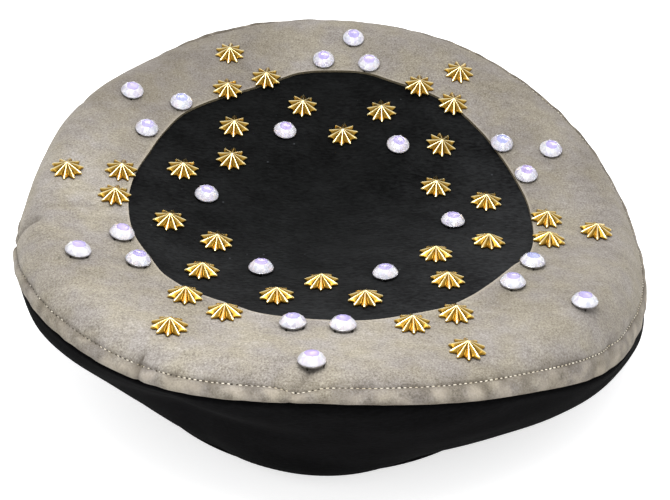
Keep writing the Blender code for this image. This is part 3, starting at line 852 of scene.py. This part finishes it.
def lay_hole(middle, half, along, side, up, points, faces):
    """Add a dark patch of painted shade for one needle hole to a mesh's points and faces."""
    start = len(points)
    for share, rise in HOLE_RINGS:
        for k in range(HOLE_SIDES):
            angle = 2 * math.pi * k / HOLE_SIDES
            out = along * (math.cos(angle) * half * share)
            out += side * (math.sin(angle) * HOLE_HALF_WIDTH * share)
            points.append(middle + out + up * (rise * MM))
    points.append(middle + up * HOLE_RINGS[0][1] * MM)
    inner = start + HOLE_SIDES
    for k in range(HOLE_SIDES):
        m = (k + 1) % HOLE_SIDES
        faces.append((start + k, start + m, inner + m, inner + k))
        faces.append((inner + k, inner + m, inner + HOLE_SIDES))


def build_stitches(outer, normals, thread, hole):
    """Running stitch in ivory thread, sunk deeper on the left of the hat, with a dark patch of painted shade
    at each needle hole.
    """
    rng = random.Random(11)
    spots, ups = sewing_line(outer, normals)
    sewn, pierced = ([], []), ([], [])
    for i in range(len(spots)):
        here, ahead = Vector(spots[i]), Vector(spots[(i + 1) % len(spots)])
        up = Vector(ups[i])
        along = (ahead - here).normalized()
        side = up.cross(along).normalized()
        left = 0.5 - 0.5 * (here.x - AXIS.x) / HAT_RADIUS
        sunk = (SUNK_AT_RIGHT + SUNK_MORE_AT_LEFT * left + rng.uniform(-0.06, 0.18)) * MM
        half = STITCH_HALF_SHARE * STITCH_PITCH * rng.uniform(0.75, 1.1)
        skew = side * rng.uniform(-0.12, 0.12) * MM
        middles, radii = [], []
        for ring in range(THREAD_RINGS):
            t = ring / (THREAD_RINGS - 1) * 2 - 1
            at_end = abs(t) == 1
            rise = THREAD_ARCH * (1 - t ** 4) - sunk - at_end * THREAD_DIVE
            middles.append(here + along * (half * t) + skew * t + up * rise)
            radii.append(THREAD_RADIUS * (THREAD_END_SHARE if at_end else 1.0))
        lay_thread(middles, radii, side, up, *sewn)
        hole_half = HOLE_HALF_LENGTH * rng.uniform(0.8, 1.3)
        lay_hole(here + along * (STITCH_PITCH / 2), hole_half, along, side, up, *pierced)
    stitches = mesh_object("topstitch_thread", *sewn, (thread,))
    holes = mesh_object("needle_hole_shades", *pierced, (hole,))
    return stitches, holes


def build_centre(nap):
    """The black disc under the cut edge of the ring, dished as the head leaves it."""
    rows = []
    for azimuth in azimuths():
        s = section(azimuth)
        cut = s["cut"] * HAT_RADIUS
        seen = np.linspace(CENTRE_START, cut, CENTRE_STEPS)
        radii = np.concatenate((seen, (cut + LAP / 2, cut + LAP)))
        rows.append([np.array((r, crown_height(azimuth, r, s))) for r in radii])
    points = turned(rows)
    normals = square_to(points)
    inside_edge = np.ones(points.shape[1])
    inside_edge[-CENTRE_EDGE_STEPS:] = np.linspace(1.0, 0.0, CENTRE_EDGE_STEPS)
    dents = 0.45 * MM * wrinkle(points, size=26 * MM, seed=3)
    dents += 0.15 * MM * wrinkle(points, size=9 * MM, seed=4)
    dents = dents * clear_of_studs(points) * inside_edge
    outer = points - normals * (SUEDE_WALL + FIT_GAP) + normals * dents[..., None]
    inner = outer - normals * SUEDE_WALL
    top = Vector((AXIS.x, AXIS.y, DISH_HEIGHT - SUEDE_WALL - FIT_GAP))
    ends = (top, top - Vector((0, 0, SUEDE_WALL)))
    centre = closed_cloth("centre_suede", outer, inner, (nap,), ends)
    radii = np.hypot(points[..., 0] - AXIS.x, points[..., 1] - AXIS.y)
    # Painted sheen on the black centre: paler towards its edge, by azimuth and in streaks
    lit = each_station(BLACK_LIT) * np.clip(radii / (86 * MM), 0, 1) ** 1.6
    lit += 0.25 * wrinkle(points * np.array((0.5, 1, 1)), size=7 * MM, seed=14)
    values = np.concatenate((np.clip(lit, 0, 1), np.zeros_like(lit)), axis=1)
    point_values(centre, "lit", np.concatenate((values.ravel(), (0.0, 0.0))))
    return centre


def build_underside(nap):
    """The black underside: tucked into the seam, with slack folds that run round the belly."""
    rows = [under_path(section(azimuth), UNDER_STEPS) for azimuth in azimuths()]
    points = turned(rows)
    normals = square_to(points)
    gone = np.cumsum(np.linalg.norm(np.diff(points, axis=1), axis=2), axis=1)
    gone = np.concatenate((np.zeros((STATIONS, 1)), gone), axis=1)
    free = np.clip(gone / (6 * MM), 0, 1) * np.clip((gone[:, -1:] - gone - 14 * MM) / (12 * MM), 0, 1)
    round_folds = wrinkle(points * np.array((1, 1, 3.2)), size=42 * MM, seed=6)
    slack = wrinkle(points, size=22 * MM, seed=7)
    middle, half, depth = UNDER_PULL
    pull_in = each_station(UNDER_TUCK) + depth * bell(np.array(azimuths())[:, None] - middle, half)
    lift = seam_turn(gone) + (ROUND_FOLD * round_folds + SLACK * slack - pull_in * MM) * free
    outer = points + normals * lift[..., None]
    return closed_cloth("under_suede", outer, back_face(points, normals, lift), (nap,))


def build_band(nap):
    """The headband, turned over softly at its edges."""
    inner = BAND_RADIUS - BAND_WALL
    bend = BAND_BEND
    path = [(inner + bend, BAND_HEIGHT), (BAND_RADIUS - bend, BAND_HEIGHT), (BAND_RADIUS, BAND_HEIGHT - bend)]
    path += [(BAND_RADIUS, BAND_HEIGHT * share) for share in (0.75, 0.5, 0.25)]
    path += [(BAND_RADIUS, bend), (BAND_RADIUS - bend, 0.0)]
    outer = turned([path] * STATIONS)
    back = [(inner, BAND_HEIGHT - bend)]
    back += [(inner, BAND_HEIGHT * share) for share in (0.82, 0.7, 0.5, 0.3, 0.15)]
    back += [(inner, bend), (inner + bend, 0.0)]
    inside = turned([back] * STATIONS)
    return closed_cloth("band_cloth", outer, inside, (nap,))


def star_point(along, across):
    """Reach, height and share of the rise from valley to rib, at a place along and across a ray."""
    half_ray = math.pi / STAR_RAYS
    swing = abs(across) * half_ray
    tip_swing = TIP_HALF / STAR_RADIUS
    fall = max(0.0, (swing - tip_swing) / (half_ray - tip_swing)) ** 0.75
    out = (STAR_RADIUS + (STAR_NOTCH - STAR_RADIUS) * fall) * along
    crest = STAR_HEIGHT - (STAR_HEIGHT - STAR_TIP_HEIGHT) * (out / STAR_RADIUS) ** 1.05
    valley = STAR_FOOT
    if out < STAR_NOTCH:
        valley = max(STAR_FOOT, STAR_HEIGHT * (1 - out / (STAR_NOTCH * 1.02)) ** 0.8)
    valley = min(valley, crest - 0.02 * MM)
    flank = max(out * math.sin(half_ray) - RIB_HALF, 0.05 * MM)
    down = max(0.0, (out * math.sin(swing) - RIB_HALF) / flank)
    share = max(0.0, 1 - min(down, 1.0)) ** 1.35
    up = valley + (crest - valley) * share
    if along == 1.0:
        up = STAR_FOOT + (up - STAR_FOOT) * 0.72
    return out, up, share


def star_shape(surface):
    """One stamped star: narrow raised ribs to blunt tips, with hollow flanks between them."""
    half_ray = math.pi / STAR_RAYS
    points, crest_values, faces = [(0.0, 0.0, STAR_HEIGHT)], [0.8], []
    for along in RAY_ALONG:
        for ray in range(STAR_RAYS):
            for across in RAY_ACROSS:
                out, up, share = star_point(along, across)
                angle = 2 * half_ray * ray + across * half_ray
                points.append((out * math.cos(angle), out * math.sin(angle), up))
                crest_values.append(share ** 2.2)
    count = STAR_RAYS * len(RAY_ACROSS)
    points += [(x, y, 0.0) for x, y, _ in points[-count:]] + [(0.0, 0.0, 0.0)]
    crest_values += [0.0] * (count + 1)
    foot = 1 + len(RAY_ALONG) * count
    last = len(points) - 1
    for i in range(count):
        j = (i + 1) % count
        faces.append((0, 1 + i, 1 + j))
        for a in range(1, foot, count):
            b = a + count
            faces.append((a + i, b + i, b + j, a + j))
        faces.append((foot + i, last, foot + j))
    mesh = bpy.data.meshes.new("star")
    mesh.from_pydata(points, [], faces)
    mesh.materials.append(surface)
    mesh.shade_smooth()
    mesh.set_sharp_from_angle(angle=math.radians(50))
    # How near each point is to a rib's crest, which the brass turns into painted highlight and painted shade
    crest = mesh.attributes.new("crest", "FLOAT", "POINT")
    crest.data.foreach_set("value", np.array(crest_values, dtype=np.float32))
    return mesh


def star_frame(solid):
    """Where a star's own solid lies: its foot's centre, its axis and one of its points."""
    spots = np.array([solid.matrix_world @ v.co for v in solid.data.vertices])
    spots = np.unique(np.round(spots, 6), axis=0)
    _, _, axes = np.linalg.svd(spots - spots.mean(axis=0))
    up = axes[2] if axes[2][2] > 0 else -axes[2]
    apex = spots[np.argmax(spots @ up)]
    foot = np.min(spots @ up)
    origin = apex - up * (apex @ up - foot)
    flat = spots - origin
    flat -= np.outer(flat @ up, up)
    reach = np.linalg.norm(flat, axis=1)
    tips = flat[reach > 0.97 * reach.max()]
    tip = tips[np.argmax(tips[:, 1])]
    ahead = Vector(tip).normalized()
    up = Vector(up)
    made = Matrix((ahead, up.cross(ahead), up)).transposed().to_4x4()
    made.translation = Vector(origin)
    return made


def build_stars(surface):
    """A stamped star on the place of each star's solid."""
    mesh = star_shape(surface)
    for name, solid in sorted(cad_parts.items()):
        if not name.startswith("gold_star"):
            continue
        star = bpy.data.objects.new(name.replace("gold_star", "gilt_star"), mesh)
        bpy.context.scene.collection.objects.link(star)
        star.matrix_world = star_frame(solid)
        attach(star, "root")
        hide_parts(name)


def crown_frame(azimuth, radius, below=0.0):
    """A frame on the crown, Z square to it, lowered by below."""
    step = 3.0 * MM
    angle = math.radians(azimuth)
    x, y = radius * math.cos(angle), radius * math.sin(angle)

    def height(px, py):
        return crown_height(math.degrees(math.atan2(py, px)), math.hypot(px, py))

    slope_x = (height(x + step, y) - height(x - step, y)) / (2 * step)
    slope_y = (height(x, y + step) - height(x, y - step)) / (2 * step)
    up = Vector((-slope_x, -slope_y, 1.0)).normalized()
    side = (Vector((1.0, 0.0, 0.0)) - up * up.x).normalized()
    made = Matrix((side, up.cross(side), up)).transposed().to_4x4()
    made.translation = Vector((x + AXIS.x, y + AXIS.y, crown_height(azimuth, radius))) - up * below
    return made


def circle(radius, height, count, phase=0.0):
    """Evenly spaced points of a level circle, turned by phase, a share of one step."""
    turns = [2 * math.pi / count * (i + phase) for i in range(count)]
    return [(radius * math.cos(turn), radius * math.sin(turn), height) for turn in turns]


def crystal_facets(rng):
    """Faces of a stone, their material slots and the tint of each."""
    kite, edge, under, back, culet = 8, 16, 32, 48, 56
    faces, slots, tints = [tuple(range(8))], [0], [rng.choice(TABLE_TINTS)]
    for i in range(8):
        upper = [
            (kite + i, i, (i - 1) % 8),
            (i, kite + i, edge + 2 * i + 1),
            (i, edge + 2 * i + 1, kite + (i + 1) % 8),
            (kite + i, edge + 2 * i, edge + 2 * i + 1),
            (kite + i, edge + (2 * i - 1) % 16, edge + 2 * i),
        ]
        faces += upper
        slots += [0] * len(upper)
        tints += [rng.choice(FACET_TINTS) for _ in upper]
    for i in range(16):
        j = (i + 1) % 16
        faces.append((edge + i, under + i, under + j, edge + j))
        slots.append(0)
        tints.append(GIRDLE_TINT)
    for i in range(8):
        j = (i + 1) % 8
        lower = [
            (under + 2 * i, back + i, under + 2 * i + 1),
            (under + 2 * i + 1, back + i, under + (2 * i + 2) % 16),
            (under + (2 * i + 2) % 16, back + i, back + j),
            (back + i, culet, back + j),
        ]
        faces += lower
        slots += [1] * len(lower)
        tints += [rng.choice(FACET_TINTS) for _ in lower]
    return faces, slots, tints


def build_crystal(name, place, glass, foil, rng):
    """One stone: table, eight kites and their triangles, girdle, and a foiled pointed back."""
    points = circle(*CRYSTAL_TABLE, 8, 0.5) + circle(*CRYSTAL_KITES, 8)
    points += circle(*GIRDLE_TOP, 16) + circle(*GIRDLE_FOOT, 16)
    points += circle(*CRYSTAL_BACK, 8, 0.5) + [(0.0, 0.0, CULET_HEIGHT)]
    faces, slots, tints = crystal_facets(rng)
    stone = mesh_object(name, points, faces, (glass, foil), slots, sharp=None)
    stone.data.shade_flat()
    colours = stone.data.color_attributes.new("tint", "FLOAT_COLOR", "CORNER")
    for face, tint in zip(stone.data.polygons, tints):
        for index in face.loop_indices:
            colours.data[index].color = linear(tint)
    stone.matrix_world = place
    return stone


def add_prong(turn, points, faces):
    """Add one prong, turned this many degrees round its cup, to a mesh's points and faces."""
    angle = math.radians(turn)
    out = Vector((math.cos(angle), math.sin(angle), 0))
    side = Vector((-math.sin(angle), math.cos(angle), 0))
    start = len(points)
    for radius, up, wide in PRONG_PROFILE:
        for depth, aside in ((1, -1), (1, 1), (-1, 1), (-1, -1)):
            away = out * (radius + depth * PRONG_HALF_THICKNESS)
            points.append((away + side * aside * wide + Vector((0, 0, up))) * MM)
    for a in (start, start + 4):
        for k in range(4):
            m = (k + 1) % 4
            faces.append((a + k, a + 4 + k, a + 4 + m, a + m))
    faces.append((start, start + 1, start + 2, start + 3))
    faces.append((start + 11, start + 10, start + 9, start + 8))


def build_cup(name, place, plated, dark):
    """The plated cup under a stone and its four prongs through the suede."""
    points, faces = [], []
    for radius, up in CUP_PROFILE:
        points += circle(radius * MM, up * MM, CUP_SEGMENTS)
    for ring in range(len(CUP_PROFILE) - 1):
        a = ring * CUP_SEGMENTS
        b = a + CUP_SEGMENTS
        for k in range(CUP_SEGMENTS):
            m = (k + 1) % CUP_SEGMENTS
            faces.append((a + k, a + m, b + m, b + k))
    faces.append(tuple(range(CUP_SEGMENTS))[::-1])
    of_cup = len(faces)
    for prong in range(PRONGS):
        add_prong(45 + 360 / PRONGS * prong, points, faces)
    slots = [0] * of_cup + [1] * (len(faces) - of_cup)
    cup = mesh_object(name, points, faces, (plated, dark), slots)
    cup.matrix_world = place
    return cup


def build_crystals():
    """All the crystals, each turned a little differently on its own seat."""
    rng = random.Random(5)
    glass, foil = coated_glass(), mirror_foil()
    plated = plated_steel("plated steel cup", "#9a9a9e", "#c9c9cd")
    # The prongs get a much darker copy of the cup's steel: painted shade under the stone
    dark = plated_steel("steel prongs with painted shade", "#2c2b2a", "#4b4945")
    for index, (azimuth, radius) in enumerate(crystal_spots(), 1):
        on_black = index <= len(CENTRE_CRYSTALS)
        below = CRYSTAL_SINK + (SUEDE_WALL + FIT_GAP if on_black else 0.0)
        place = crown_frame(azimuth, radius, below) @ Matrix.Rotation(rng.uniform(0, math.pi / 4), 4, "Z")
        stone = build_crystal(f"crystal_{index:02d}", place, glass, foil, rng)
        cup = build_cup(f"crystal_cup_{index:02d}", place, plated, dark)
        for piece in (stone, cup):
            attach(piece, "root")


def stage_and_light():
    """Pale floor, and soft light from all round with more from close above the front."""
    mesh = bpy.data.meshes.new("floor")
    corners = [(x * FLOOR_HALF, y * FLOOR_HALF, 0) for x, y in ((-1, -1), (1, -1), (1, 1), (-1, 1))]
    mesh.from_pydata(corners, [], [(0, 1, 2, 3)])
    mesh.materials.append(studio_paper())
    floor = bpy.data.objects.new("floor", mesh)
    bpy.context.scene.collection.objects.link(floor)

    world = bpy.data.worlds.new("studio")
    bpy.context.scene.world = world
    world.use_nodes = True
    background = world.node_tree.nodes["Background"]
    background.inputs["Color"].default_value = linear("#fdfdff")
    background.inputs["Strength"].default_value = ALL_ROUND_LIGHT

    for name, place, size, power in LAMPS:
        light = bpy.data.lights.new(name, "AREA")
        light.energy = power
        light.size = size
        lamp = bpy.data.objects.new(name, light)
        bpy.context.scene.collection.objects.link(lamp)
        lamp.location = place
        lamp.rotation_euler = (LAMP_TARGET - Vector(place)).to_track_quat("-Z", "Y").to_euler()


def set_camera():
    """The camera at the photograph's angle and distance."""
    forward = Vector((0, math.cos(CAMERA_ELEVATION), -math.sin(CAMERA_ELEVATION)))
    upward = Vector((0, math.sin(CAMERA_ELEVATION), math.cos(CAMERA_ELEVATION)))
    camera = bpy.data.cameras.new("camera")
    camera.sensor_width = SENSOR
    camera.lens = FOCAL_PIXELS * SENSOR / PHOTO_WIDTH
    eye = bpy.data.objects.new("camera", camera)
    bpy.context.scene.collection.objects.link(eye)
    dish = AXIS + Vector((0, 0, DISH_HEIGHT))
    eye.location = dish + Vector((CAMERA_RIGHT, 0, 0)) - forward * CAMERA_DISTANCE - upward * CAMERA_DOWN
    eye.rotation_euler = forward.to_track_quat("-Z", "Y").to_euler()
    bpy.context.scene.camera = eye
    bpy.context.scene.view_settings.view_transform = "Standard"


def main():
    """The studio, then the cloth, the sewing, the stars and the crystals."""
    stage_and_light()
    set_camera()
    centre_nap = black_suede("black brushed suede", "#020202", "#111212", "#55585c", 0.08)
    under_nap = black_suede("black suede underside", "#040404", "#0c0c0d", "#1b1c1f", 0.0)
    ring, outer, normals = build_ring(beige_suede(), cut_edge())
    stitches, holes = build_stitches(outer, normals, ivory_thread(), painted_hole_shade())
    pieces = (
        (ring, "crown_ring", "beige_suede"),
        (build_centre(centre_nap), "crown_centre", "black_suede"),
        (build_underside(under_nap), "underside", "black_suede"),
        (build_band(under_nap), "headband", "band_cloth"),
    )
    for piece, solid, slot in pieces:
        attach(piece, "root")
        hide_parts(solid)
    for piece in (stitches, holes):
        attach(piece, "root")
    build_stars(gilt_brass())
    build_crystals()


main()
